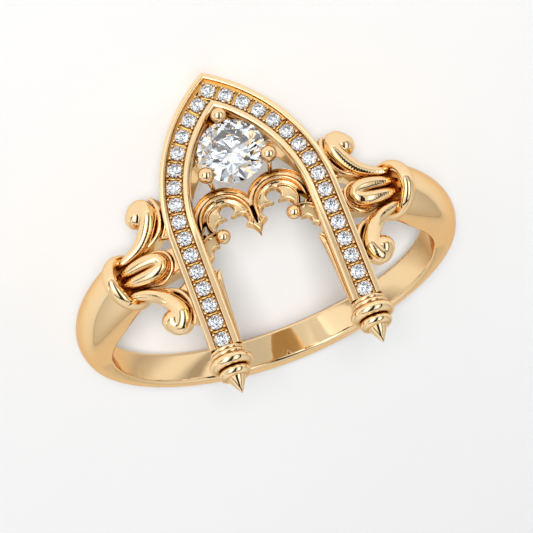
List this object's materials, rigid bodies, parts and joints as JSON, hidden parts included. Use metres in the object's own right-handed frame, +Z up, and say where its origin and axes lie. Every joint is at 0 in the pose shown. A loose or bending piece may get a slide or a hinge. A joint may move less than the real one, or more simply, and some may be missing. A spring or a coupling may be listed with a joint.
{
  "type": "moissanite ring",
  "caption": "Gold ring with a pointed arch head of small stones round a prong-set centre stone, open cusped tracery, two turned finials and scrolled shoulders.",
  "frame": {"origin": "middle of the bounding box on the plane the ring rests on", "axes": "+Z up from the table; the ring lies on its side on the point of its arch and the rim of the band at the palm; the head faces -Y and leans back; +X across the hand"},
  "size_m": [0.0216, 0.0232, 0.0161],
  "materials": {
    "gold": "polished warm yellow gold",
    "moissanite": "clear round brilliant, strong fire",
    "small_stones": "clear, eight-sided cut"
  },
  "bodies": {
    "root": {"gold": "gold", "centre_stone": "moissanite", "apex_stone": "small_stones", "left_stone_01": "small_stones", "left_stone_02": "small_stones", "left_stone_03": "small_stones", "left_stone_04": "small_stones", "left_stone_05": "small_stones", "left_stone_06": "small_stones", "left_stone_07": "small_stones", "left_stone_08": "small_stones", "left_stone_09": "small_stones", "left_stone_10": "small_stones", "left_stone_11": "small_stones", "left_stone_12": "small_stones", "left_stone_13": "small_stones", "left_stone_14": "small_stones", "left_stone_15": "small_stones", "right_stone_01": "small_stones", "right_stone_02": "small_stones", "right_stone_03": "small_stones", "right_stone_04": "small_stones", "right_stone_05": "small_stones", "right_stone_06": "small_stones", "right_stone_07": "small_stones", "right_stone_08": "small_stones", "right_stone_09": "small_stones", "right_stone_10": "small_stones", "right_stone_11": "small_stones", "right_stone_12": "small_stones", "right_stone_13": "small_stones", "right_stone_14": "small_stones", "right_stone_15": "small_stones"}
  },
  "joints": []
}
